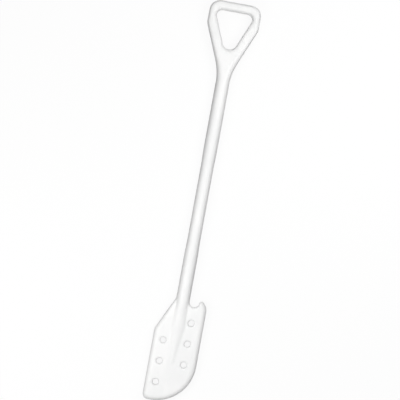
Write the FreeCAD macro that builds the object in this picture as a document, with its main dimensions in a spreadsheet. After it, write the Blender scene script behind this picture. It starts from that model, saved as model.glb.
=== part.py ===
import FreeCAD, Part
import os
from math import acos, asin, atan2, cos, pi, radians, sin, sqrt, tan
from types import SimpleNamespace

import Sketcher

# Stirring paddle, moulded in one piece. Millimetres.
# X runs across the blade, Y along the shaft towards the handle, Z is up.
# The half above the parting plane is modelled on Z = 0 and mirrored in that plane. The finished
# solid is lifted by the radius of the shaft's ends, so that it lies on its shaft on Z = 0.

SIZES = {
    # whole paddle
    "overall_length": 890.0,
    "blade_length": 227.6,
    # shaft, slightly waisted, with a true cylinder at mid-length
    "shaft_end_diameter": 30.4,
    "shaft_waist_diameter": 28.6,
    "waist_length": 164.0,
    "waist_taper_length": 33.0,
    # handle, a closed fork with a straight grip bar, as thick as the shaft
    "handle_width": 113.8,
    "handle_thickness": 30.4,
    "handle_side_length": 27.0,
    "handle_corner_radius": 23.0,
    "grip_bar_width": 19.6,
    "leg_width": 23.2,
    "leg_slant": 22.5,
    "elbow_radius": 12.0,
    "neck_flare_radius": 134.0,
    "window_corner_radius": 12.0,
    "window_bottom_radius": 16.2,
    "leg_edge_radius": 11.0,
    "grip_edge_radius": 9.0,
    # blade, wider on the side of the hook
    "blade_thickness": 16.0,
    "blade_left_width": 50.9,
    "blade_edge_radius": 13.0,
    "shoulder_drop": 73.3,
    "shoulder_corner_radius": 14.0,
    "toe_corner_radius": 13.0,
    "toe_flat_length": 5.0,
    # hook and the notch between it and the shaft
    "notch_radius": 11.0,
    "hook_tip_radius": 5.9,
    "hook_back_radius": 28.0,
    "hook_setback": 7.0,
    "hook_edge_radius": 5.2,
    # ridge, the run-out of the shaft over the blade
    "ridge_wide_distance": 58.6,
    "ridge_wide_width": 33.0,
    "ridge_wide_height": 4.6,
    "ridge_tip_distance": 137.6,
    "ridge_tip_width": 11.6,
    "ridge_tip_height": 1.4,
    "ridge_end_length": 4.0,
    "ridge_end_width": 6.0,
    # flow holes, two staggered columns
    "hole_diameter": 13.0,
    "hole_flare_width": 2.6,
    "hole_flare_depth": 2.6,
    "hole_pitch": 46.5,
    "hole_column_offset": 27.0,
    "hole_toe_distance": 41.7,
    # how far hidden surfaces stay below the visible ones
    "seam_cover": 0.3,
    "seat_depth": 1.0,
}
HOLES_PER_COLUMN = 3

doc = FreeCAD.newDocument("stirring_paddle")
sheet = doc.addObject("Spreadsheet::Sheet", "sizes")
for row, (alias, value) in enumerate(SIZES.items(), start=1):
    sheet.set(f"A{row}", alias)
    sheet.set(f"B{row}", str(value))
    sheet.setAlias(f"B{row}", alias)
doc.recompute()

# Lengths that several features share, as expressions on the sheet
SHAFT_RADIUS = "(sizes.shaft_end_diameter / 2)"
NOSE_RADIUS = f"({SHAFT_RADIUS} - sizes.seam_cover)"
TOP = "(sizes.overall_length / 2)"
ROOT_DEPTH = f"({TOP} - sizes.blade_length)"
HALF_BLADE = "(sizes.blade_thickness / 2)"
HALF_HANDLE = "(sizes.handle_thickness / 2)"
SLANT = "(sizes.leg_slant * 1 deg)"
# The bend from leg to neck starts where the legs, coming down from the elbows, reach it
BENDS = "(sizes.elbow_radius + sizes.neck_flare_radius)"
NECK_LINE = (
    f"({TOP} - sizes.handle_corner_radius - sizes.handle_side_length - {BENDS} * sin({SLANT})"
    f" - (sizes.handle_width / 2 - {NOSE_RADIUS} - {BENDS} * (1 - cos({SLANT}))) / tan({SLANT}))"
)
# The blade's edge radius is larger than its half thickness, so the parting plane cuts the
# rounding short and brings the edge in by this much
EDGE_INSET = (
    "(sizes.blade_edge_radius - sqrt(sizes.blade_edge_radius ^ 2"
    f" - (sizes.blade_edge_radius - {HALF_BLADE}) ^ 2))"
)
BLADE_RIGHT_WIDTH = (
    f"({NOSE_RADIUS} + 2 * sizes.notch_radius + 2 * sizes.hook_tip_radius + sizes.hook_setback)"
)

# The same lengths as numbers, for the first positions of the sketch geometry
mm = SimpleNamespace(**SIZES)
mm.shaft_radius = mm.shaft_end_diameter / 2
mm.nose_radius = mm.shaft_radius - mm.seam_cover
mm.top = mm.overall_length / 2
mm.root_line = mm.blade_length - mm.top
mm.half_blade = mm.blade_thickness / 2
mm.half_handle = mm.handle_thickness / 2
mm.slant = radians(mm.leg_slant)
mm.edge_inset = mm.blade_edge_radius - sqrt(
    mm.blade_edge_radius ** 2 - (mm.blade_edge_radius - mm.half_blade) ** 2
)

# No rounding may be larger than the outline that it follows allows
hook_rounding = min(mm.hook_edge_radius, 0.9 * mm.hook_tip_radius)
grip_rounding = min(mm.grip_edge_radius, 0.46 * mm.grip_bar_width)
leg_rounding = min(mm.leg_edge_radius, 0.475 * mm.leg_width)
neck_rounding = 0.97 * mm.nose_radius

START, END, CENTRE = range(1, 4)
ORIGIN = (-1, 1)
X_AXIS, Y_AXIS = -1, -2
UP = FreeCAD.Vector(0, 0, 1)
CLOSE = 0.01


def point(x, y):
    return FreeCAD.Vector(x, y, 0)


def on_circle(centre, radius, angle):
    return point(centre.x + radius * cos(angle), centre.y + radius * sin(angle))


def arc(centre, radius, first, last):
    return Part.ArcOfCircle(Part.Circle(centre, UP, radius), first, last)


def line(start, end):
    return Part.LineSegment(start, end)


def origin_plane(body, role):
    return next(feature for feature in body.Origin.OriginFeatures if feature.Role == role)


def new_sketch(body, name, role="XY_Plane", **offset):
    """A sketch on one of the body's own planes, shifted on it by expressions for x, y and z."""
    sketch = body.newObject("Sketcher::SketchObject", name)
    sketch.AttachmentSupport = [(origin_plane(body, role), "")]
    sketch.MapMode = "FlatFace"
    for axis, expression in offset.items():
        sketch.setExpression(f"AttachmentOffset.Base.{axis}", expression)
    return sketch


def relate(sketch, *rules):
    """Add geometric constraints."""
    sketch.addConstraint([Sketcher.Constraint(*rule) for rule in rules])


def chain(sketch, kind, *joints):
    """Join end points: each joint is (shape, end, next shape, end)."""
    relate(sketch, *[(kind, *joint) for joint in joints])


def drive(sketch, name, expression, kind, *where, value=None):
    """Add a dimension at its present value, name it and bind it to the sheet."""
    if kind == "Radius":
        value = sketch.Geometry[where[0]].Radius
    elif kind in ("DistanceX", "DistanceY"):
        step = sketch.getPoint(*where[2:]) - sketch.getPoint(*where[:2])
        value = step.x if kind == "DistanceX" else step.y
    index = sketch.addConstraint(Sketcher.Constraint(kind, *where, value))
    sketch.renameConstraint(index, name)
    sketch.setExpression(f"Constraints.{name}", expression)


def pad(body, sketch, name, length):
    feature = body.newObject("PartDesign::Pad", name)
    feature.Profile = sketch
    feature.setExpression("Length", length)
    return feature


def mirror_body(body, name, role):
    """Add the mirror image of all that the body has so far."""
    doc.recompute()
    mirrored = body.newObject("PartDesign::Mirrored", name)
    mirrored.TransformMode = "Whole shape"
    mirrored.MirrorPlane = (origin_plane(body, role), [""])
    body.Tip = mirrored
    return mirrored


def round_top(blank, name, height, corners):
    """Round the blank's edges at a height, between corners of its outline. Each corner brings
    its own radius, and the rounding runs from one radius to the next along the edge."""
    def radius_at(end):
        return next((radius for place, radius in corners
                     if end.distanceToPoint(point(place.x, place.y) + UP * height) < CLOSE), None)

    edges = []
    for index, edge in enumerate(blank.Shape.Edges, start=1):
        first = radius_at(edge.valueAt(edge.FirstParameter))
        last = radius_at(edge.valueAt(edge.LastParameter))
        if first and last:
            edges.append((index, first, last))
    rounded = doc.addObject("Part::Fillet", name)
    rounded.Base = blank
    rounded.Edges = edges
    doc.recompute()
    return rounded


# Blade with hook and notch, one chain of tangent lines and arcs. The nose lies inside the shaft,
# and nose, notch and hook tip are three circles side by side on the root line.
blade = doc.addObject("PartDesign::Body", "blade_plate")
outline = new_sketch(blade, "blade_outline", z="-sizes.blade_edge_radius")
left = mm.blade_left_width + mm.edge_inset
toe = -mm.top - mm.edge_inset
nose = point(0, mm.root_line)
notch = point(mm.nose_radius + mm.notch_radius, mm.root_line)
tip = point(notch.x + mm.notch_radius + mm.hook_tip_radius, mm.root_line)
right = tip.x + mm.hook_tip_radius + mm.hook_setback + mm.edge_inset
reach = mm.hook_back_radius - mm.hook_tip_radius
tip_run = tip.x - (right - mm.hook_back_radius)
back = point(right - mm.hook_back_radius, mm.root_line - sqrt(reach ** 2 - tip_run ** 2))
tip_angle = atan2(tip.y - back.y, tip.x - back.x)
shoulder_radius = mm.shoulder_corner_radius + mm.edge_inset
shoulder = point(shoulder_radius - left, mm.root_line - mm.shoulder_drop)
span = nose - shoulder
shoulder_angle = atan2(span.y, span.x) + acos((shoulder_radius - mm.nose_radius) / span.Length)
toe_radius = mm.toe_corner_radius + mm.edge_inset
heel = point(toe_radius - left, toe + toe_radius)
sweep_radius = right - heel.x - mm.toe_flat_length
sweep = point(right - sweep_radius, toe + sweep_radius)
outline.addGeometry([
    arc(notch, mm.notch_radius, pi, 2 * pi),
    arc(nose, mm.nose_radius, 0, shoulder_angle),
    line(on_circle(nose, mm.nose_radius, shoulder_angle),
         on_circle(shoulder, shoulder_radius, shoulder_angle)),
    arc(shoulder, shoulder_radius, shoulder_angle, pi),
    line(point(-left, shoulder.y), point(-left, heel.y)),
    arc(heel, toe_radius, pi, 1.5 * pi),
    line(point(heel.x, toe), point(sweep.x, toe)),
    arc(sweep, sweep_radius, 1.5 * pi, 2 * pi),
    line(point(right, sweep.y), point(right, back.y)),
    arc(back, mm.hook_back_radius, 0, tip_angle),
    arc(tip, mm.hook_tip_radius, tip_angle, pi),
], False)
(NOTCH, NOSE, SLOPE, SHOULDER, LEFT, HEEL, TOE, SWEEP, RIGHT, BACK, TIP) = range(11)
chain(outline, "Tangent", (NOTCH, START, NOSE, START), (TIP, END, NOTCH, END),
      *[(shape, END, shape + 1, START) for shape in range(NOSE, TIP)])
relate(outline, ("Vertical", LEFT), ("Vertical", RIGHT), ("Horizontal", TOE),
       ("PointOnObject", NOSE, CENTRE, Y_AXIS),
       ("Horizontal", NOTCH, CENTRE, NOSE, CENTRE), ("Horizontal", TIP, CENTRE, NOSE, CENTRE))
drive(outline, "nose_radius", NOSE_RADIUS, "Radius", NOSE)
drive(outline, "notch_radius", "sizes.notch_radius", "Radius", NOTCH)
drive(outline, "tip_radius", "sizes.hook_tip_radius", "Radius", TIP)
drive(outline, "back_radius", "sizes.hook_back_radius", "Radius", BACK)
drive(outline, "shoulder_radius", f"sizes.shoulder_corner_radius + {EDGE_INSET}",
      "Radius", SHOULDER)
drive(outline, "heel_radius", f"sizes.toe_corner_radius + {EDGE_INSET}", "Radius", HEEL)
drive(outline, "toe_flat", "sizes.toe_flat_length", "DistanceX", TOE, START, TOE, END)
drive(outline, "root_depth", ROOT_DEPTH, "DistanceY", NOSE, CENTRE, *ORIGIN)
drive(outline, "shoulder_drop", "sizes.shoulder_drop", "DistanceY", LEFT, START, NOSE, CENTRE)
drive(outline, "left", f"sizes.blade_left_width + {EDGE_INSET}",
      "DistanceX", LEFT, START, *ORIGIN)
drive(outline, "right", f"{BLADE_RIGHT_WIDTH} + {EDGE_INSET}",
      "DistanceX", *ORIGIN, RIGHT, START)
drive(outline, "toe", f"{TOP} + {EDGE_INSET}", "DistanceY", TOE, START, *ORIGIN)
pad(blade, outline, "blade_pad", f"sizes.blade_edge_radius + {HALF_BLADE}")
doc.recompute()
hook_corners = ((NOTCH, START), (NOTCH, END), (TIP, START))
blade_rounded = round_top(
    blade, "blade_rounded", mm.half_blade,
    [(outline.getPoint(*corner), hook_rounding) for corner in hook_corners]
    + [(outline.getPoint(shape, END), mm.blade_edge_radius) for shape in range(NOSE, BACK)],
)

# Handle, one half of the fork closed along the axis, and its mirror image
handle = doc.addObject("PartDesign::Body", "handle_plate")
outline = new_sketch(handle, "handle_outline", z="-sizes.leg_edge_radius")
half_width = mm.handle_width / 2
corner = point(half_width - mm.handle_corner_radius, mm.top - mm.handle_corner_radius)
elbow = point(half_width - mm.elbow_radius, corner.y - mm.handle_side_length)
leg_high = on_circle(elbow, mm.elbow_radius, -mm.slant)
flare_x = mm.nose_radius + mm.neck_flare_radius
leg_low_x = flare_x - mm.neck_flare_radius * cos(mm.slant)
leg_low = point(leg_low_x, leg_high.y - (leg_high.x - leg_low_x) / tan(mm.slant))
neck_line = leg_low.y - mm.neck_flare_radius * sin(mm.slant)
flare, tongue = point(flare_x, neck_line), point(0, neck_line)
# the inner edges of the two legs would meet in this point of the axis
apex = leg_low.y - (leg_low.x - mm.leg_width / cos(mm.slant)) / tan(mm.slant)
bottom = point(0, apex + mm.window_bottom_radius / sin(mm.slant))
window_top = mm.top - mm.grip_bar_width
pane_y = window_top - mm.window_corner_radius
pane = point((pane_y - apex) * tan(mm.slant) - mm.window_corner_radius / cos(mm.slant), pane_y)
window_low = point(0, bottom.y - mm.window_bottom_radius)
outline.addGeometry([
    line(point(0, mm.top), point(corner.x, mm.top)),
    arc(corner, mm.handle_corner_radius, 0, pi / 2),
    line(point(half_width, corner.y), point(half_width, elbow.y)),
    arc(elbow, mm.elbow_radius, -mm.slant, 0),
    line(leg_high, leg_low),
    arc(flare, mm.neck_flare_radius, pi - mm.slant, pi),
    arc(tongue, mm.nose_radius, -pi / 2, 0),
    line(point(0, neck_line - mm.nose_radius), window_low),
    arc(bottom, mm.window_bottom_radius, -pi / 2, -mm.slant),
    line(on_circle(bottom, mm.window_bottom_radius, -mm.slant),
         on_circle(pane, mm.window_corner_radius, -mm.slant)),
    arc(pane, mm.window_corner_radius, -mm.slant, pi / 2),
    line(point(pane.x, window_top), point(0, window_top)),
    line(point(0, window_top), point(0, mm.top)),
], False)
(BAR, CORNER, SIDE, ELBOW, LEG, FLARE, TONGUE, LOW_AXIS, BOTTOM, INNER, PANE, WINDOW_TOP,
 HIGH_AXIS) = range(13)
chain(outline, "Tangent", (BAR, END, CORNER, END), (CORNER, START, SIDE, START),
      (SIDE, END, ELBOW, END), (ELBOW, START, LEG, START), (LEG, END, FLARE, START),
      (FLARE, END, TONGUE, END), (BOTTOM, END, INNER, START), (INNER, END, PANE, START),
      (PANE, END, WINDOW_TOP, START))
chain(outline, "Coincident", (TONGUE, START, LOW_AXIS, START), (LOW_AXIS, END, BOTTOM, START),
      (WINDOW_TOP, END, HIGH_AXIS, START), (HIGH_AXIS, END, BAR, START))
relate(outline, ("Horizontal", BAR), ("Horizontal", WINDOW_TOP), ("Vertical", SIDE),
       ("Horizontal", FLARE, CENTRE, TONGUE, CENTRE), ("Parallel", LEG, INNER),
       *[("PointOnObject", shape, end, Y_AXIS) for shape, end in (
           (LOW_AXIS, START), (LOW_AXIS, END), (HIGH_AXIS, START), (HIGH_AXIS, END),
           (TONGUE, CENTRE), (BOTTOM, CENTRE))])
drive(outline, "corner_radius", "sizes.handle_corner_radius", "Radius", CORNER)
drive(outline, "elbow_radius", "sizes.elbow_radius", "Radius", ELBOW)
drive(outline, "flare_radius", "sizes.neck_flare_radius", "Radius", FLARE)
drive(outline, "tongue_radius", NOSE_RADIUS, "Radius", TONGUE)
drive(outline, "bottom_radius", "sizes.window_bottom_radius", "Radius", BOTTOM)
drive(outline, "pane_radius", "sizes.window_corner_radius", "Radius", PANE)
drive(outline, "top", TOP, "DistanceY", *ORIGIN, BAR, START)
drive(outline, "half_width", "sizes.handle_width / 2", "DistanceX", *ORIGIN, SIDE, START)
drive(outline, "side_length", "sizes.handle_side_length", "DistanceY", SIDE, END, SIDE, START)
drive(outline, "bar_width", "sizes.grip_bar_width", "DistanceY", WINDOW_TOP, END, BAR, START)
drive(outline, "leg_width", "sizes.leg_width", "Distance", INNER, START, LEG,
      value=mm.leg_width)
drive(outline, "leg_slant", f"90 deg - {SLANT}", "Angle", X_AXIS, START, INNER, START,
      value=pi / 2 - mm.slant)
pad(handle, outline, "handle_pad", f"sizes.leg_edge_radius + {HALF_HANDLE}")
mirror_body(handle, "handle_mirror", "YZ_Plane")
doc.recompute()


def handle_corners(*joints):
    """Corners of the half outline and of its mirror image, with their radii."""
    places = [(outline.getPoint(shape, end), radius) for shape, end, radius in joints]
    return [(point(side * place.x, place.y), radius) for side in (1, -1)
            for place, radius in places]


# beside the window's upper corners the fork is narrower than its legs
side_width = half_width - pane.x - mm.window_corner_radius
side_rounding = min(leg_rounding, 0.46 * side_width, 0.95 * mm.elbow_radius)
outer_rounded = round_top(handle, "outer_rounded", mm.half_handle, handle_corners(
    (BAR, START, grip_rounding), (BAR, END, grip_rounding), (CORNER, START, side_rounding),
    (SIDE, END, side_rounding), (ELBOW, START, side_rounding), (LEG, END, leg_rounding),
    (FLARE, END, neck_rounding), (TONGUE, START, neck_rounding)))
handle_rounded = round_top(outer_rounded, "handle_rounded", mm.half_handle, handle_corners(
    (BOTTOM, START, leg_rounding), (BOTTOM, END, leg_rounding), (INNER, END, side_rounding),
    (PANE, END, grip_rounding), (WINDOW_TOP, END, grip_rounding)))

# Shaft, a waisted half round between root line and neck line
shaft = doc.addObject("PartDesign::Body", "shaft_half")
profile = new_sketch(shaft, "shaft_profile")
waist_radius, waist_end = mm.shaft_waist_diameter / 2, mm.waist_length / 2
taper_end = waist_end + mm.waist_taper_length
corners = [
    point(0, mm.root_line), point(mm.shaft_radius, mm.root_line),
    point(mm.shaft_radius, -taper_end), point(waist_radius, -waist_end),
    point(waist_radius, waist_end), point(mm.shaft_radius, taper_end),
    point(mm.shaft_radius, neck_line), point(0, neck_line),
]
profile.addGeometry([line(a, b) for a, b in zip(corners, corners[1:] + corners[:1])], False)
(ROOT, LOW_SIDE, LOW_TAPER, WAIST, HIGH_TAPER, HIGH_SIDE, NECK, AXIS) = range(8)
chain(profile, "Coincident", *[(side, END, (side + 1) % 8, START) for side in range(8)])
relate(profile, ("Horizontal", ROOT), ("Horizontal", NECK), ("Vertical", LOW_SIDE),
       ("Vertical", WAIST), ("Vertical", HIGH_SIDE), ("Vertical", AXIS),
       ("PointOnObject", ROOT, START, Y_AXIS))
drive(profile, "root_depth", ROOT_DEPTH, "DistanceY", ROOT, START, *ORIGIN)
drive(profile, "neck_line", NECK_LINE, "DistanceY", *ORIGIN, NECK, END)
drive(profile, "root_radius", SHAFT_RADIUS, "DistanceX", *ORIGIN, ROOT, END)
drive(profile, "neck_radius", SHAFT_RADIUS, "DistanceX", *ORIGIN, NECK, START)
drive(profile, "waist_radius", "sizes.shaft_waist_diameter / 2",
      "DistanceX", *ORIGIN, WAIST, START)
drive(profile, "waist_low", "sizes.waist_length / 2", "DistanceY", WAIST, START, *ORIGIN)
drive(profile, "waist_high", "sizes.waist_length / 2", "DistanceY", *ORIGIN, WAIST, END)
drive(profile, "low_taper", "sizes.waist_taper_length",
      "DistanceY", LOW_TAPER, START, LOW_TAPER, END)
drive(profile, "high_taper", "sizes.waist_taper_length",
      "DistanceY", HIGH_TAPER, START, HIGH_TAPER, END)
revolution = shaft.newObject("PartDesign::Revolution", "shaft_revolution")
revolution.Profile = profile
revolution.ReferenceAxis = (profile, ["V_Axis"])
revolution.Angle = 180
revolution.Reversed = True

# Sections across the shaft. All are made of a base on the parting plane, a right side, a crest
# and a left side, so that a loft leads each of these into its like.
BASE, RIGHT_SIDE, CREST, LEFT_SIDE = range(4)
FOOT_LEVEL = f"({HALF_BLADE} - sizes.seat_depth)"
foot_level = mm.half_blade - mm.seat_depth


def ridge_section(name, distance, width, height, across, above):
    """A low crest on two upright sides. Its foot lies a little below the face of the blade."""
    section = new_sketch(shaft, name, "XZ_Plane", z=f"{ROOT_DEPTH} + {distance}")
    half, rise = across / 2, above + mm.seat_depth
    radius = (half ** 2 + rise ** 2) / (2 * rise)
    centre = point(0, foot_level + rise - radius)
    first = atan2(foot_level - centre.y, half)
    section.addGeometry([
        line(point(-half, 0), point(half, 0)),
        line(point(half, 0), point(half, foot_level)),
        arc(centre, radius, first, pi - first),
        line(point(-half, foot_level), point(-half, 0)),
    ], False)
    chain(section, "Coincident", *[(side, END, (side + 1) % 4, START) for side in range(4)])
    relate(section, ("Symmetric", BASE, START, BASE, END, *ORIGIN), ("Horizontal", BASE),
           ("Vertical", RIGHT_SIDE), ("Vertical", LEFT_SIDE),
           ("PointOnObject", CREST, CENTRE, Y_AXIS))
    drive(section, "half_width", f"{width} / 2", "DistanceX", *ORIGIN, BASE, END)
    drive(section, "foot_level", FOOT_LEVEL, "DistanceY", RIGHT_SIDE, START, RIGHT_SIDE, END)
    lift = f"({height} + sizes.seat_depth)"
    drive(section, "crest_radius", f"(({width} / 2) ^ 2 + {lift} ^ 2) / (2 * {lift})",
          "Radius", CREST)
    return section


# Ridge, which carries the shaft on over the blade and ends in a short blunt tip
ridge_root = new_sketch(shaft, "ridge_root", "XZ_Plane", z=ROOT_DEPTH)
foot_angle = asin(foot_level / mm.shaft_radius)
ridge_root.addGeometry([
    line(point(-mm.shaft_radius, 0), point(mm.shaft_radius, 0)),
    arc(point(0, 0), mm.shaft_radius, 0, foot_angle),
    arc(point(0, 0), mm.shaft_radius, foot_angle, pi - foot_angle),
    arc(point(0, 0), mm.shaft_radius, pi - foot_angle, pi),
], False)
chain(ridge_root, "Coincident", *[(side, END, (side + 1) % 4, START) for side in range(4)])
relate(ridge_root, ("Horizontal", BASE), ("PointOnObject", BASE, END, X_AXIS),
       ("Horizontal", RIGHT_SIDE, END, CREST, END),
       *[("Coincident", side, CENTRE, *ORIGIN) for side in (RIGHT_SIDE, CREST, LEFT_SIDE)])
drive(ridge_root, "radius", SHAFT_RADIUS, "Radius", RIGHT_SIDE)
drive(ridge_root, "foot_level", FOOT_LEVEL, "DistanceY", *ORIGIN, RIGHT_SIDE, END)
ridge = shaft.newObject("PartDesign::AdditiveLoft", "ridge")
ridge.Profile = ridge_root
ridge.Sections = [
    ridge_section("ridge_wide", "sizes.ridge_wide_distance", "sizes.ridge_wide_width",
                  "sizes.ridge_wide_height", mm.ridge_wide_width, mm.ridge_wide_height),
    ridge_section("ridge_tip", "sizes.ridge_tip_distance", "sizes.ridge_tip_width",
                  "sizes.ridge_tip_height", mm.ridge_tip_width, mm.ridge_tip_height),
    ridge_section("ridge_end", "sizes.ridge_tip_distance + sizes.ridge_end_length",
                  "sizes.ridge_end_width", "(0 - sizes.seam_cover)",
                  mm.ridge_end_width, -mm.seam_cover),
]
ridge.Ruled = True
shaft.Tip = ridge

# The three shapes become one, and all below the parting plane is cut away
joined = doc.addObject("Part::MultiFuse", "joined")
joined.Shapes = [shaft, blade_rounded, handle_rounded]
upper_space = doc.addObject("Part::Box", "upper_space")
upper_space.setExpression("Length", "2 * sizes.overall_length")
upper_space.setExpression("Width", "2 * sizes.overall_length")
upper_space.setExpression("Height", "sizes.overall_length")
upper_space.setExpression("Placement.Base.x", "-sizes.overall_length")
upper_space.setExpression("Placement.Base.y", "-sizes.overall_length")
upper_half = doc.addObject("Part::MultiCommon", "upper_half")
upper_half.Shapes = [joined, upper_space]
doc.recompute()

# Flow holes with flared rims, then the lower half
paddle = doc.addObject("PartDesign::Body", "stirring_paddle")
paddle.BaseFeature = upper_half


def hole_column(name, across, depth):
    """A hole of half the blade's thickness and its repeats along the blade."""
    hole = new_sketch(paddle, f"{name}_profile", "XZ_Plane", x=across, z=depth)
    bore, mouth = mm.hole_diameter / 2, mm.hole_diameter / 2 + mm.hole_flare_width
    face, low, high = mm.half_blade, -mm.half_blade, 2 * mm.half_blade
    corners = [
        point(0, low), point(bore, low), point(bore, face - mm.hole_flare_depth),
        point(mouth, face), point(mouth, high), point(0, high),
    ]
    hole.addGeometry([line(a, b) for a, b in zip(corners, corners[1:] + corners[:1])], False)
    (FLOOR, BORE, CONE, ABOVE, LID, CORE) = range(6)
    chain(hole, "Coincident", *[(side, END, (side + 1) % 6, START) for side in range(6)])
    relate(hole, ("Vertical", BORE), ("Vertical", ABOVE), ("Vertical", CORE),
           ("Horizontal", FLOOR), ("Horizontal", LID), ("PointOnObject", CORE, START, Y_AXIS))
    drive(hole, "bore", "sizes.hole_diameter / 2", "DistanceX", *ORIGIN, BORE, START)
    drive(hole, "flare_width", "sizes.hole_flare_width", "DistanceX", CONE, START, CONE, END)
    drive(hole, "flare_depth", "sizes.hole_flare_depth", "DistanceY", CONE, START, CONE, END)
    drive(hole, "face", HALF_BLADE, "DistanceY", *ORIGIN, CONE, END)
    drive(hole, "below", HALF_BLADE, "DistanceY", FLOOR, START, *ORIGIN)
    drive(hole, "above", HALF_BLADE, "DistanceY", ABOVE, START, ABOVE, END)
    groove = paddle.newObject("PartDesign::Groove", name)
    groove.Profile = hole
    groove.ReferenceAxis = (hole, ["V_Axis"])
    groove.Angle = 360
    paddle.Tip = groove
    column = paddle.newObject("PartDesign::LinearPattern", f"{name}_column")
    column.Originals = [groove]
    column.Direction = (origin_plane(paddle, "Y_Axis"), [""])
    column.setExpression("Length", f"{HOLES_PER_COLUMN - 1} * sizes.hole_pitch")
    column.Occurrences = HOLES_PER_COLUMN
    paddle.Tip = column


LOWEST_HOLE = f"({TOP} - sizes.hole_toe_distance)"
hole_column("left_hole", "-sizes.hole_column_offset", LOWEST_HOLE)
hole_column("right_hole", "sizes.hole_column_offset", f"{LOWEST_HOLE} - sizes.hole_pitch")
mirror_body(paddle, "lower_half", "XY_Plane")
paddle.setExpression("Placement.Base.z", SHAFT_RADIUS)
doc.recompute()

for part in doc.Objects:
    if {"Invalid", "Error"} & set(part.State):
        raise RuntimeError(f"{part.Label}: {part.State}")
if not paddle.Shape.isValid() or len(paddle.Shape.Solids) != 1:
    raise RuntimeError("the paddle is not one valid solid")
os.makedirs("parts", exist_ok=True)
paddle.Shape.exportStep("parts/stirring_paddle.step")
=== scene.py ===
"""Finish of the one-piece stirring paddle: its smooth white moulding and the plain stage it is shown on.

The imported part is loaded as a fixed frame. All sizes are in metres, in that frame: the shaft runs along Y,
the blade is at the low end, the grip at the high end, and the paddle lies on the floor at Z = 0.
"""

import math

import bpy
from bpy.props import FloatProperty, FloatVectorProperty, IntProperty, PointerProperty
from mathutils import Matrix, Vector


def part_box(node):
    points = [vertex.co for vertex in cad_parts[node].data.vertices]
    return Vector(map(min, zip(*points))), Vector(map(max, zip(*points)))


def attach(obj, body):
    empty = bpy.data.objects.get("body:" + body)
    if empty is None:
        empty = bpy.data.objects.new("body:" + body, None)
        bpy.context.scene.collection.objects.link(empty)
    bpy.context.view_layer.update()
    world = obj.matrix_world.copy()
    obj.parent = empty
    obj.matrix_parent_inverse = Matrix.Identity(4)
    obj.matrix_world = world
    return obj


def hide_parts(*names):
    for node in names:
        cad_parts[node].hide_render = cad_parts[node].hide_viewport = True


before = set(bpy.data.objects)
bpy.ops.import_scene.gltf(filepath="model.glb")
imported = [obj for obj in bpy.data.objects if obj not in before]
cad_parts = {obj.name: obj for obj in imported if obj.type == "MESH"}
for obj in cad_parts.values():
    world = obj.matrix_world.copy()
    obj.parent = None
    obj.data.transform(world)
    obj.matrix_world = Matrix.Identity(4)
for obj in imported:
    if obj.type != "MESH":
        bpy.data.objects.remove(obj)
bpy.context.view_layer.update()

bl_info = {
    "name": "Stirring Paddle Finish",
    "version": (1, 0, 0),
    "blender": (4, 5, 0),
    "location": "3D View > Sidebar > Paddle",
    "description": "Makes the white moulding of a stirring paddle and the stage that it lies on",
    "category": "Object",
}

SOLID = "stirring_paddle"
LOW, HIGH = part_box(SOLID)
MIDDLE = (LOW + HIGH) / 2
SEAM_LEVEL = MIDDLE.z

# Lengths in metres
SAME_POINT = 0.00001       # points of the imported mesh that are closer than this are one
ON_THE_CUT = 0.000001      # points this close to a cutting plane lie on it
ON_THE_MIRROR = 0.00002    # points this close to the mirror plane are joined to their images
FLOOR_GAP = 0.0002         # the floor lies this far under the paddle's lowest line
POLISH_START = 0.075       # distances from the grip's end between which
POLISH_FULL = 0.02         # hands have polished it more and more
SCUFF_PATCH = 0.06         # width of a patch of scuffs
FLOOR_CLOUD = 0.6          # width of a cloud on the floor
LAMP_AIM = 0.36            # the two side lamps aim this far from the paddle's middle
SENSOR_WIDTH = 36          # of the camera, in millimetres

# Shares and factors
CLOUD_STRETCH = 0.35       # clouds in the plastic are longer along the shaft by 1 / this
SCUFF_STRETCH = 0.06       # so are the scuffs
SCUFF_TONE = 0.94          # of the cloud's tone
SCUFF_COVER = 0.6          # how much of that tone a scuff shows
SCUFF_MATT = 0.15          # roughness that a scuff adds
UNEVEN_GLOSS = 0.04        # roughness that a cloud adds or takes
FLOOR_DRIFT = 0.985        # tone of the floor's clouds


# ---------------------------------------------------------------- settings

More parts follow.
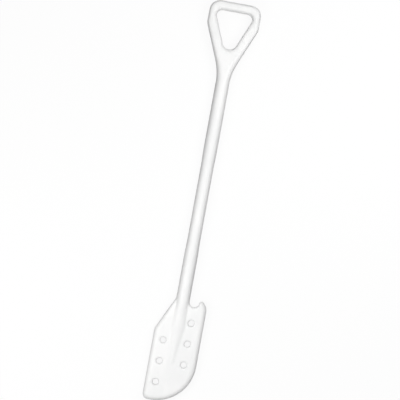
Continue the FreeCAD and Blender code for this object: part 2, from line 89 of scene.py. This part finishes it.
class PaddleMouldingSettings(bpy.types.PropertyGroup):
    """Sizes and finish of the moulding"""

    mesh_size: FloatProperty(
        name="Mesh Size", description="Side of the small squares that the skin is made of",
        default=0.00132, min=0.0008, max=0.004, unit="LENGTH", precision=5)
    smoothing_rounds: IntProperty(
        name="Smoothing Rounds",
        description="How often the skin is smoothed, to melt its edges like a moulding's",
        default=10, min=0, max=40)
    smoothing_strength: FloatProperty(
        name="Smoothing Strength", description="How far each round moves a point towards its neighbours",
        default=0.5, min=0.0, max=1.0, subtype="FACTOR")
    even_from: FloatProperty(
        name="Even From", description="Place along the shaft from which the grip's two legs are made alike",
        default=0.2, unit="LENGTH")
    plastic_color: FloatVectorProperty(
        name="Plastic Color", description="White of the plastic",
        default=(0.935, 0.935, 0.93), min=0.0, max=1.0, size=3, subtype="COLOR")
    cloud_color: FloatVectorProperty(
        name="Cloud Color", description="Slightly greyer white of the clouds in the plastic",
        default=(0.9, 0.903, 0.9), min=0.0, max=1.0, size=3, subtype="COLOR")
    cloud_size: FloatProperty(
        name="Cloud Size", description="Width of one cloud in the plastic",
        default=0.035, min=0.005, max=0.2, unit="LENGTH")
    grain_size: FloatProperty(
        name="Grain Size", description="Width of one grain of the mould's satin texture",
        default=0.0009, min=0.0003, max=0.005, unit="LENGTH", precision=4)
    grain_depth: FloatProperty(
        name="Grain Depth", description="Depth of the mould's satin texture",
        default=0.00008, min=0.0, max=0.0005, unit="LENGTH", precision=5)
    scuff_size: FloatProperty(
        name="Scuff Size", description="Width of the fine scuffs that pots and hands leave along the paddle",
        default=0.0016, min=0.0003, max=0.01, unit="LENGTH", precision=4)
    scuff_share: FloatProperty(
        name="Scuff Share", description="How much of the skin is scuffed",
        default=0.35, min=0.0, max=1.0, subtype="FACTOR")
    scuff_depth: FloatProperty(
        name="Scuff Depth", description="Depth of the fine scuffs",
        default=0.00003, min=0.0, max=0.0005, unit="LENGTH", precision=5)
    seam_width: FloatProperty(
        name="Seam Width", description="Width of the line where the two halves of the mould met",
        default=0.0007, min=0.0001, max=0.003, unit="LENGTH", precision=4)
    seam_depth: FloatProperty(
        name="Seam Depth", description="Height of that line over the skin beside it",
        default=0.00008, min=0.0, max=0.0005, unit="LENGTH", precision=5)
    gloss: FloatProperty(
        name="Roughness", description="Roughness of the satin skin",
        default=0.42, min=0.1, max=1.0, subtype="FACTOR")
    rubbed_gloss: FloatProperty(
        name="Rubbed Roughness", description="Roughness where hands have polished the grip",
        default=0.3, min=0.1, max=1.0, subtype="FACTOR")


class PaddleStageSettings(bpy.types.PropertyGroup):
    """Floor, lamps and camera"""

    floor_size: FloatProperty(
        name="Floor Size", description="Side of the floor", default=12.0, min=1.0, unit="LENGTH")
    floor_color: FloatVectorProperty(
        name="Floor Color", description="Pale colour that the camera sees on the floor",
        default=(0.93, 0.93, 0.93), min=0.0, max=1.0, size=3, subtype="COLOR")
    floor_bounce: FloatVectorProperty(
        name="Floor Bounce",
        description="Darker colour with which the floor lights the paddle's sides from below",
        default=(0.05, 0.05, 0.05), min=0.0, max=1.0, size=3, subtype="COLOR")
    floor_shade: FloatProperty(
        name="Floor Shade", description="How much of the floor's own shading the camera sees on its white",
        default=0.09, min=0.0, max=1.0, subtype="FACTOR")
    top_light: FloatProperty(
        name="Top Light", description="Strength of the wide lamp overhead", default=0.56, min=0.0)
    toe_light: FloatProperty(
        name="Toe Light", description="Strength of the soft lamp high beyond the blade's toe",
        default=0.85, min=0.0)
    end_light: FloatProperty(
        name="End Light", description="Strength of the soft lamp high beyond the grip's end",
        default=0.98, min=0.0)
    end_tilt: FloatProperty(
        name="End Tilt", description="How far the toe's and the end's lamps lean from straight overhead",
        default=math.radians(45), min=0.0, max=math.radians(85), subtype="ANGLE")
    spread: FloatProperty(
        name="Spread", description="How wide the lamps overhead and beyond the ends look from the floor",
        default=math.radians(45), min=0.0, max=math.pi, subtype="ANGLE")
    blade_light: FloatProperty(
        name="Blade Light", description="Power of the soft lamp high on the left of the blade",
        default=3.2, min=0.0, unit="POWER")
    grip_light: FloatProperty(
        name="Grip Light", description="Power of the soft lamp high on the right of the grip",
        default=3.4, min=0.0, unit="POWER")
    side_distance: FloatProperty(
        name="Side Distance",
        description="How far the blade's and the grip's lamps stand from the shaft's line",
        default=0.545, min=0.1, unit="LENGTH")
    side_height: FloatProperty(
        name="Side Height", description="Height of these two lamps over the paddle",
        default=0.778, min=0.1, unit="LENGTH")
    side_size: FloatProperty(
        name="Side Size", description="Side of these two square lamps", default=0.4, min=0.05, unit="LENGTH")
    room_light: FloatProperty(
        name="Room Light", description="Level of the even light from all round", default=0.0, min=0.0)
    camera_distance: FloatProperty(
        name="Camera Distance", description="Height of the camera over the shaft's axis",
        default=3.5, min=0.5, unit="LENGTH")
    camera_turn: FloatProperty(
        name="Camera Turn",
        description="Turn of the picture, so that the grip points up and to the right",
        default=math.radians(10.34), subtype="ANGLE")
    picture_width: FloatProperty(
        name="Picture Width", description="Width of what the camera takes in at the shaft's axis",
        default=0.8779, min=0.1, unit="LENGTH", precision=4)
    picture_shift: FloatVectorProperty(
        name="Picture Shift",
        description="Where the picture's centre is from the paddle's, to the right and up",
        default=(-0.00135, 0.0064), size=2, subtype="XYZ", precision=5)


# ---------------------------------------------------------------- helpers

def select_only(*things):
    """Leaves just these objects selected, with the first one active."""
    if bpy.context.object and bpy.context.object.mode != "OBJECT":
        bpy.ops.object.mode_set(mode="OBJECT")
    bpy.ops.object.select_all(action="DESELECT")
    for thing in things:
        thing.select_set(True)
    bpy.context.view_layer.objects.active = things[0] if things else None


def apply_modifier(piece, kind, **values):
    """Adds a modifier with these values to the piece and applies it."""
    select_only(piece)
    bpy.ops.object.modifier_add(type=kind)
    modifier = piece.modifiers[-1]
    for name, value in values.items():
        setattr(modifier, name, value)
    bpy.ops.object.modifier_apply(modifier=modifier.name)


def cut_away(piece, place, side, closed):
    """Cuts the piece at a plane and removes what lies on this side of it, then closes the cut if asked."""
    select_only(piece)
    bpy.ops.object.mode_set(mode="EDIT")
    bpy.ops.mesh.select_all(action="SELECT")
    bpy.ops.mesh.bisect(
        plane_co=place, plane_no=side, use_fill=closed, clear_outer=True, threshold=ON_THE_CUT)
    bpy.ops.object.mode_set(mode="OBJECT")


def add_node(tree, kind, place, **values):
    """Adds a node to a tree, at a place in the editor, with its own settings."""
    node = tree.nodes.new(kind)
    node.location = place
    for name, value in values.items():
        setattr(node, name, value)
    return node


def set_inputs(node, **values):
    """Sets a node's inputs by name, with _ for a space."""
    for name, value in values.items():
        node.inputs[name.replace("_", " ")].default_value = value


def new_group(name, inputs, outputs):
    """Makes a shader group with these (name, kind, default) inputs and (name, kind) outputs."""
    group = bpy.data.node_groups.new(name, "ShaderNodeTree")
    for label, kind, default in inputs:
        socket = group.interface.new_socket(label, in_out="INPUT", socket_type=kind)
        socket.default_value = default
    for label, kind in outputs:
        group.interface.new_socket(label, in_out="OUTPUT", socket_type=kind)
    start = add_node(group, "NodeGroupInput", (-900, 0))
    end = add_node(group, "NodeGroupOutput", (900, 0))
    return group, start, end


def group_node(tree, group, place):
    """Places a shader group in a material."""
    return add_node(tree, "ShaderNodeGroup", place, node_tree=group)


# ---------------------------------------------------------------- effects

def cloudy_tone():
    """Group that drifts between two tones in soft clouds, as pale plastic or a floor does."""
    name = "cloudy tone"
    if name in bpy.data.node_groups:
        return bpy.data.node_groups[name]
    group, start, end = new_group(
        name,
        [("Tone", "NodeSocketColor", (1, 1, 1, 1)), ("Other Tone", "NodeSocketColor", (0.9, 0.9, 0.9, 1)),
         ("Cloud Size", "NodeSocketFloat", 0.04), ("Stretch", "NodeSocketFloat", 1.0)],
        [("Color", "NodeSocketColor"), ("Mask", "NodeSocketFloat")])
    place = add_node(group, "ShaderNodeTexCoord", (-900, -250))
    pull = add_node(group, "ShaderNodeCombineXYZ", (-700, -60))
    pull.inputs["X"].default_value = 1.0
    pull.inputs["Z"].default_value = 1.0
    pulled = add_node(group, "ShaderNodeVectorMath", (-500, -200), operation="MULTIPLY")
    often = add_node(group, "ShaderNodeMath", (-500, 150), operation="DIVIDE")
    often.inputs[0].default_value = 1.0
    cloud = add_node(group, "ShaderNodeTexNoise", (-250, 0), noise_dimensions="3D")
    set_inputs(cloud, Detail=4.0, Roughness=0.55, Distortion=0.4)
    soft = add_node(group, "ShaderNodeMapRange", (0, 0), interpolation_type="SMOOTHSTEP")
    set_inputs(soft, From_Min=0.35, From_Max=0.65)
    blend = add_node(group, "ShaderNodeMix", (300, 100), data_type="RGBA")
    join = group.links.new
    join(start.outputs["Stretch"], pull.inputs["Y"])
    join(place.outputs["Object"], pulled.inputs[0])
    join(pull.outputs["Vector"], pulled.inputs[1])
    join(start.outputs["Cloud Size"], often.inputs[1])
    join(pulled.outputs["Vector"], cloud.inputs["Vector"])
    join(often.outputs["Value"], cloud.inputs["Scale"])
    join(cloud.outputs["Fac"], soft.inputs["Value"])
    join(soft.outputs["Result"], blend.inputs["Factor"])
    join(start.outputs["Tone"], blend.inputs["A"])
    join(start.outputs["Other Tone"], blend.inputs["B"])
    join(blend.outputs["Result"], end.inputs["Color"])
    join(soft.outputs["Result"], end.inputs["Mask"])
    return group


def mould_skin():
    """Group with the height, in metres, of the mould's satin grain and of the line where its halves met."""
    name = "mould skin"
    if name in bpy.data.node_groups:
        return bpy.data.node_groups[name]
    group, start, end = new_group(
        name,
        [("Grain Size", "NodeSocketFloat", 0.001), ("Grain Depth", "NodeSocketFloat", 0.00003),
         ("Seam Level", "NodeSocketFloat", 0.0), ("Seam Width", "NodeSocketFloat", 0.0007),
         ("Seam Depth", "NodeSocketFloat", 0.00008)],
        [("Height", "NodeSocketFloat"), ("Seam", "NodeSocketFloat")])
    place = add_node(group, "ShaderNodeTexCoord", (-900, -300))
    often = add_node(group, "ShaderNodeMath", (-650, 200), operation="DIVIDE")
    often.inputs[0].default_value = 1.0
    grain = add_node(group, "ShaderNodeTexNoise", (-400, 200), noise_dimensions="3D")
    set_inputs(grain, Detail=2.0, Roughness=0.5)
    deep = add_node(group, "ShaderNodeMath", (-100, 200), operation="MULTIPLY")
    split = add_node(group, "ShaderNodeSeparateXYZ", (-650, -300))
    away = add_node(group, "ShaderNodeMath", (-400, -300), operation="SUBTRACT")
    far = add_node(group, "ShaderNodeMath", (-220, -300), operation="ABSOLUTE")
    line = add_node(group, "ShaderNodeMapRange", (0, -300), interpolation_type="SMOOTHSTEP")
    set_inputs(line, From_Min=0.0, To_Min=1.0, To_Max=0.0)
    raised = add_node(group, "ShaderNodeMath", (250, -200), operation="MULTIPLY")
    total = add_node(group, "ShaderNodeMath", (500, 0), operation="ADD")
    join = group.links.new
    join(start.outputs["Grain Size"], often.inputs[1])
    join(place.outputs["Object"], grain.inputs["Vector"])
    join(often.outputs["Value"], grain.inputs["Scale"])
    join(grain.outputs["Fac"], deep.inputs[0])
    join(start.outputs["Grain Depth"], deep.inputs[1])
    join(place.outputs["Object"], split.inputs["Vector"])
    join(split.outputs["Z"], away.inputs[0])
    join(start.outputs["Seam Level"], away.inputs[1])
    join(away.outputs["Value"], far.inputs[0])
    join(far.outputs["Value"], line.inputs["Value"])
    join(start.outputs["Seam Width"], line.inputs["From Max"])
    join(line.outputs["Result"], raised.inputs[0])
    join(start.outputs["Seam Depth"], raised.inputs[1])
    join(deep.outputs["Value"], total.inputs[0])
    join(raised.outputs["Value"], total.inputs[1])
    join(total.outputs["Value"], end.inputs["Height"])
    join(line.outputs["Result"], end.inputs["Seam"])
    return group


def fine_scuffs():
    """Group that masks long fine scuffs, which gather in patches, as on a tool in daily use."""
    name = "fine scuffs"
    if name in bpy.data.node_groups:
        return bpy.data.node_groups[name]
    group, start, end = new_group(
        name,
        [("Scuff Size", "NodeSocketFloat", 0.0016), ("Patch Size", "NodeSocketFloat", 0.05),
         ("Share", "NodeSocketFloat", 0.35)],
        [("Mask", "NodeSocketFloat")])
    place = add_node(group, "ShaderNodeTexCoord", (-900, -200))
    drawn_out = add_node(group, "ShaderNodeVectorMath", (-650, 0), operation="MULTIPLY")
    drawn_out.inputs[1].default_value = (1.0, SCUFF_STRETCH, 1.0)
    often = add_node(group, "ShaderNodeMath", (-650, 250), operation="DIVIDE")
    often.inputs[0].default_value = 1.0
    scuff = add_node(group, "ShaderNodeTexNoise", (-400, 150), noise_dimensions="3D")
    set_inputs(scuff, Detail=3.0, Roughness=0.6, Distortion=0.3)
    thin = add_node(group, "ShaderNodeMapRange", (-150, 150), interpolation_type="SMOOTHSTEP")
    set_inputs(thin, From_Min=0.57, From_Max=0.68)
    rarely = add_node(group, "ShaderNodeMath", (-650, -300), operation="DIVIDE")
    rarely.inputs[0].default_value = 1.0
    patch = add_node(group, "ShaderNodeTexNoise", (-400, -250), noise_dimensions="3D")
    set_inputs(patch, Detail=2.0, Roughness=0.5)
    few = add_node(group, "ShaderNodeMath", (-400, -450), operation="SUBTRACT")
    few.inputs[0].default_value = 1.0
    where = add_node(group, "ShaderNodeMath", (-150, -250), operation="SUBTRACT")
    spread = add_node(group, "ShaderNodeMath", (100, -250), operation="MULTIPLY", use_clamp=True)
    spread.inputs[1].default_value = 2.5
    both = add_node(group, "ShaderNodeMath", (400, 0), operation="MULTIPLY")
    half = add_node(group, "ShaderNodeMath", (-150, -450), operation="MULTIPLY")
    half.inputs[1].default_value = 0.6
    join = group.links.new
    join(place.outputs["Object"], drawn_out.inputs[0])
    join(start.outputs["Scuff Size"], often.inputs[1])
    join(drawn_out.outputs["Vector"], scuff.inputs["Vector"])
    join(often.outputs["Value"], scuff.inputs["Scale"])
    join(scuff.outputs["Fac"], thin.inputs["Value"])
    join(start.outputs["Patch Size"], rarely.inputs[1])
    join(place.outputs["Object"], patch.inputs["Vector"])
    join(rarely.outputs["Value"], patch.inputs["Scale"])
    join(start.outputs["Share"], few.inputs[1])
    join(few.outputs["Value"], half.inputs[0])
    join(patch.outputs["Fac"], where.inputs[0])
    join(half.outputs["Value"], where.inputs[1])
    join(where.outputs["Value"], spread.inputs[0])
    join(thin.outputs["Result"], both.inputs[0])
    join(spread.outputs["Value"], both.inputs[1])
    join(both.outputs["Value"], end.inputs["Mask"])
    return group


# ---------------------------------------------------------------- materials

def white_polypropylene(settings):
    """Satin white plastic with faint clouds, grain, scuffs, the mould's seam and a grip polished by hands."""
    material = bpy.data.materials.new("white polypropylene")
    material.use_nodes = True
    tree = material.node_tree
    tree.nodes.clear()
    output = add_node(tree, "ShaderNodeOutputMaterial", (900, 0))
    plastic = add_node(tree, "ShaderNodeBsdfPrincipled", (600, 0))
    set_inputs(plastic, IOR=1.49, Specular_IOR_Level=0.25)

    tone = group_node(tree, cloudy_tone(), (-500, 300))
    set_inputs(tone, Tone=(*settings.plastic_color, 1), Other_Tone=(*settings.cloud_color, 1),
               Cloud_Size=settings.cloud_size, Stretch=CLOUD_STRETCH)

    skin = group_node(tree, mould_skin(), (-500, -350))
    set_inputs(skin, Grain_Size=settings.grain_size, Grain_Depth=settings.grain_depth, Seam_Level=SEAM_LEVEL,
               Seam_Width=settings.seam_width, Seam_Depth=settings.seam_depth)

    scuffs = group_node(tree, fine_scuffs(), (-500, 50))
    set_inputs(scuffs, Scuff_Size=settings.scuff_size, Patch_Size=SCUFF_PATCH, Share=settings.scuff_share)

    duller = add_node(tree, "ShaderNodeMix", (-200, 350), data_type="RGBA")
    set_inputs(duller, B=(*[SCUFF_TONE * level for level in settings.cloud_color], 1))
    faint = add_node(tree, "ShaderNodeMath", (-300, 150), operation="MULTIPLY")
    faint.inputs[1].default_value = SCUFF_COVER
    place = add_node(tree, "ShaderNodeTexCoord", (-900, -150))
    along = add_node(tree, "ShaderNodeSeparateXYZ", (-700, -150))
    rubbed = add_node(tree, "ShaderNodeMapRange", (-450, -150), interpolation_type="SMOOTHSTEP")
    set_inputs(rubbed, From_Min=HIGH.y - POLISH_START, From_Max=HIGH.y - POLISH_FULL,
               To_Min=settings.gloss, To_Max=settings.rubbed_gloss)
    uneven = add_node(tree, "ShaderNodeMapRange", (-200, 0))
    set_inputs(uneven, To_Min=-UNEVEN_GLOSS, To_Max=UNEVEN_GLOSS)
    rough = add_node(tree, "ShaderNodeMath", (50, 0), operation="ADD")
    matter = add_node(tree, "ShaderNodeMath", (50, 150), operation="MULTIPLY")
    matter.inputs[1].default_value = SCUFF_MATT
    total = add_node(tree, "ShaderNodeMath", (250, 50), operation="ADD")
    dent = add_node(tree, "ShaderNodeMath", (-100, -250), operation="MULTIPLY")
    dent.inputs[1].default_value = -settings.scuff_depth
    height = add_node(tree, "ShaderNodeMath", (100, -300), operation="ADD")
    bump = add_node(tree, "ShaderNodeBump", (300, -300))
    set_inputs(bump, Strength=1.0, Distance=1.0)

    join = tree.links.new
    join(scuffs.outputs["Mask"], faint.inputs[0])
    join(tone.outputs["Color"], duller.inputs["A"])
    join(faint.outputs["Value"], duller.inputs["Factor"])
    join(duller.outputs["Result"], plastic.inputs["Base Color"])
    join(place.outputs["Object"], along.inputs["Vector"])
    join(along.outputs["Y"], rubbed.inputs["Value"])
    join(tone.outputs["Mask"], uneven.inputs["Value"])
    join(rubbed.outputs["Result"], rough.inputs[0])
    join(uneven.outputs["Result"], rough.inputs[1])
    join(scuffs.outputs["Mask"], matter.inputs[0])
    join(rough.outputs["Value"], total.inputs[0])
    join(matter.outputs["Value"], total.inputs[1])
    join(total.outputs["Value"], plastic.inputs["Roughness"])
    join(scuffs.outputs["Mask"], dent.inputs[0])
    join(skin.outputs["Height"], height.inputs[0])
    join(dent.outputs["Value"], height.inputs[1])
    join(height.outputs["Value"], bump.inputs["Height"])
    join(bump.outputs["Normal"], plastic.inputs["Normal"])
    join(plastic.outputs["BSDF"], output.inputs["Surface"])
    return material


def pale_floor(settings):
    """Pale matt floor that the camera sees as white, with the paddle's faint shadow on it."""
    material = bpy.data.materials.new("pale floor")
    material.use_nodes = True
    tree = material.node_tree
    tree.nodes.clear()
    output = add_node(tree, "ShaderNodeOutputMaterial", (900, 0))
    rays = add_node(tree, "ShaderNodeLightPath", (-900, 400))
    seen = add_node(tree, "ShaderNodeMath", (-700, 400), operation="MAXIMUM")
    shown = add_node(tree, "ShaderNodeMath", (-500, 400), operation="MAXIMUM")
    tone = group_node(tree, cloudy_tone(), (-700, -100))
    other = [FLOOR_DRIFT * level for level in settings.floor_color]
    set_inputs(tone, Tone=(*settings.floor_color, 1), Other_Tone=(*other, 1),
               Cloud_Size=FLOOR_CLOUD, Stretch=1.0)
    color = add_node(tree, "ShaderNodeMix", (-300, -100), data_type="RGBA")
    set_inputs(color, A=(*settings.floor_bounce, 1))
    matt = add_node(tree, "ShaderNodeBsdfPrincipled", (0, -100))
    set_inputs(matt, Roughness=0.9, Specular_IOR_Level=0.0)
    white = add_node(tree, "ShaderNodeEmission", (300, 100))
    set_inputs(white, Color=(1, 1, 1, 1), Strength=1.0)
    share = add_node(tree, "ShaderNodeMath", (300, 350), operation="MULTIPLY")
    share.inputs[1].default_value = 1 - settings.floor_shade
    mix = add_node(tree, "ShaderNodeMixShader", (650, 0))
    join = tree.links.new
    join(rays.outputs["Is Camera Ray"], seen.inputs[0])
    join(rays.outputs["Is Glossy Ray"], seen.inputs[1])
    join(seen.outputs["Value"], shown.inputs[0])
    join(rays.outputs["Is Transmission Ray"], shown.inputs[1])
    join(shown.outputs["Value"], color.inputs["Factor"])
    join(tone.outputs["Color"], color.inputs["B"])
    join(color.outputs["Result"], matt.inputs["Base Color"])
    join(shown.outputs["Value"], share.inputs[0])
    join(share.outputs["Value"], mix.inputs["Fac"])
    join(matt.outputs["BSDF"], mix.inputs[1])
    join(white.outputs["Emission"], mix.inputs[2])
    join(mix.outputs["Shader"], output.inputs["Surface"])
    return material


# ---------------------------------------------------------------- operators

class PADDLE_OT_moulding(bpy.types.Operator):
    """Make the moulding: the solid with two like legs, as one smooth closed skin in white polypropylene"""

    bl_idname = "paddle.moulding"
    bl_label = "Moulding"
    bl_options = {"REGISTER", "UNDO"}

    def execute(self, context):
        settings = context.scene.paddle_moulding
        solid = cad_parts[SOLID]
        piece = bpy.data.objects.new("paddle_moulding", solid.data.copy())
        context.scene.collection.objects.link(piece)
        piece.data.materials.clear()

        select_only(piece)
        bpy.ops.object.mode_set(mode="EDIT")
        bpy.ops.mesh.select_all(action="SELECT")
        bpy.ops.mesh.remove_doubles(threshold=SAME_POINT)
        bpy.ops.mesh.customdata_custom_splitnormals_clear()
        bpy.ops.object.mode_set(mode="OBJECT")
        self.even_legs(piece, settings)

        apply_modifier(piece, "REMESH", mode="VOXEL", voxel_size=settings.mesh_size, adaptivity=0.0)
        if settings.smoothing_rounds:
            apply_modifier(piece, "SMOOTH", factor=settings.smoothing_strength,
                           iterations=settings.smoothing_rounds)
        select_only(piece)
        bpy.ops.object.shade_smooth()
        if len(piece.data.polygons) < 1000:
            raise RuntimeError("the moulding came out empty")

        piece.data.materials.append(white_polypropylene(settings))
        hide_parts(SOLID)
        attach(piece, "root")
        return {"FINISHED"}

    def even_legs(self, piece, settings):
        """Remakes the grip as its left half and that half's mirror image, so that both legs are full."""
        select_only(piece)
        bpy.ops.object.duplicate()
        grip = bpy.context.object
        overlap = 3 * settings.mesh_size
        cut_away(grip, (0, settings.even_from - overlap, 0), (0, -1, 0), True)
        cut_away(grip, (0, 0, 0), (1, 0, 0), False)
        apply_modifier(grip, "MIRROR", use_axis=(True, False, False), use_clip=True,
                       merge_threshold=ON_THE_MIRROR)
        cut_away(piece, (0, settings.even_from, 0), (0, 1, 0), True)
        select_only(piece, grip)
        bpy.ops.object.join()


class PADDLE_OT_stage(bpy.types.Operator):
    """Lay out the floor, the lamps, the room's light and the camera that looks straight down"""

    bl_idname = "paddle.stage"
    bl_label = "Stage"
    bl_options = {"REGISTER", "UNDO"}

    def execute(self, context):
        settings = context.scene.paddle_stage
        self.floor(settings)
        self.lamps(settings)
        self.room(context, settings)
        self.camera(context, settings)
        context.scene.view_settings.view_transform = "Standard"
        return {"FINISHED"}

    def floor(self, settings):
        select_only()
        bpy.ops.mesh.primitive_plane_add(size=settings.floor_size, location=(0, 0, LOW.z - FLOOR_GAP))
        floor = bpy.context.object
        floor.name = "floor"
        floor.data.materials.append(pale_floor(settings))

    def lamps(self, settings):
        for name, tilt, strength in (
            ("top lamp", 0, settings.top_light),
            ("toe lamp", settings.end_tilt, settings.toe_light),
            ("end lamp", -settings.end_tilt, settings.end_light),
        ):
            select_only()
            bpy.ops.object.light_add(type="SUN", location=(0, 0, 3), rotation=(tilt, 0, 0))
            lamp = bpy.context.object
            lamp.name = name
            lamp.data.energy = strength
            lamp.data.angle = settings.spread
        for name, end, power in (
            ("blade lamp", -1, settings.blade_light),
            ("grip lamp", 1, settings.grip_light),
        ):
            aim = Vector((0, end * LAMP_AIM, MIDDLE.z))
            place = aim + Vector((end * settings.side_distance, 0, settings.side_height))
            select_only()
            bpy.ops.object.light_add(
                type="AREA", location=place, rotation=(aim - place).to_track_quat("-Z", "Y").to_euler())
            lamp = bpy.context.object
            lamp.name = name
            lamp.data.shape = "SQUARE"
            lamp.data.size = settings.side_size
            lamp.data.energy = power

    def room(self, context, settings):
        world = bpy.data.worlds.new("room")
        context.scene.world = world
        world.use_nodes = True
        tree = world.node_tree
        tree.nodes.clear()
        output = add_node(tree, "ShaderNodeOutputWorld", (700, 0))
        light = add_node(tree, "ShaderNodeBackground", (500, 0))
        set_inputs(light, Color=(1, 1, 1, 1))
        rays = add_node(tree, "ShaderNodeLightPath", (-300, 0))
        seen = add_node(tree, "ShaderNodeMath", (-50, 0), operation="MAXIMUM")
        through = add_node(tree, "ShaderNodeMath", (100, 0), operation="MAXIMUM")
        level = add_node(tree, "ShaderNodeMapRange", (300, 0))
        set_inputs(level, To_Min=settings.room_light, To_Max=1.0)
        join = tree.links.new
        join(rays.outputs["Is Camera Ray"], seen.inputs[0])
        join(rays.outputs["Is Glossy Ray"], seen.inputs[1])
        join(seen.outputs["Value"], through.inputs[0])
        join(rays.outputs["Is Transmission Ray"], through.inputs[1])
        join(through.outputs["Value"], level.inputs["Value"])
        join(level.outputs["Result"], light.inputs["Strength"])
        join(light.outputs["Background"], output.inputs["Surface"])

    def camera(self, context, settings):
        turn = settings.camera_turn
        right = Vector((math.cos(turn), math.sin(turn), 0))
        up = Vector((-math.sin(turn), math.cos(turn), 0))
        over = MIDDLE + settings.picture_shift[0] * right + settings.picture_shift[1] * up
        select_only()
        bpy.ops.object.camera_add(
            location=over + Vector((0, 0, settings.camera_distance)), rotation=(0, 0, turn))
        camera = bpy.context.object
        camera.name = "camera"
        camera.data.sensor_width = SENSOR_WIDTH
        camera.data.lens = SENSOR_WIDTH * settings.camera_distance / settings.picture_width
        camera.data.clip_start = 0.1
        camera.data.clip_end = 50
        context.scene.camera = camera


# ---------------------------------------------------------------- panel

class PADDLE_PT_finish(bpy.types.Panel):
    """The paddle's operators and settings"""

    bl_idname = "PADDLE_PT_finish"
    bl_label = "Stirring Paddle"
    bl_space_type = "VIEW_3D"
    bl_region_type = "UI"
    bl_category = "Paddle"

    def draw(self, context):
        for operator, settings in (
            (PADDLE_OT_moulding, context.scene.paddle_moulding),
            (PADDLE_OT_stage, context.scene.paddle_stage),
        ):
            box = self.layout.box()
            for name in settings.bl_rna.properties.keys():
                if name not in ("rna_type", "name"):
                    box.prop(settings, name)
            box.operator(operator.bl_idname)


CLASSES = (PaddleMouldingSettings, PaddleStageSettings, PADDLE_OT_moulding, PADDLE_OT_stage, PADDLE_PT_finish)


def register():
    for each in CLASSES:
        bpy.utils.register_class(each)
    bpy.types.Scene.paddle_moulding = PointerProperty(type=PaddleMouldingSettings)
    bpy.types.Scene.paddle_stage = PointerProperty(type=PaddleStageSettings)


def unregister():
    del bpy.types.Scene.paddle_stage
    del bpy.types.Scene.paddle_moulding
    for each in reversed(CLASSES):
        bpy.utils.unregister_class(each)


def main():
    register()
    bpy.ops.paddle.moulding()
    bpy.ops.paddle.stage()


if __name__ == "__main__":
    main()
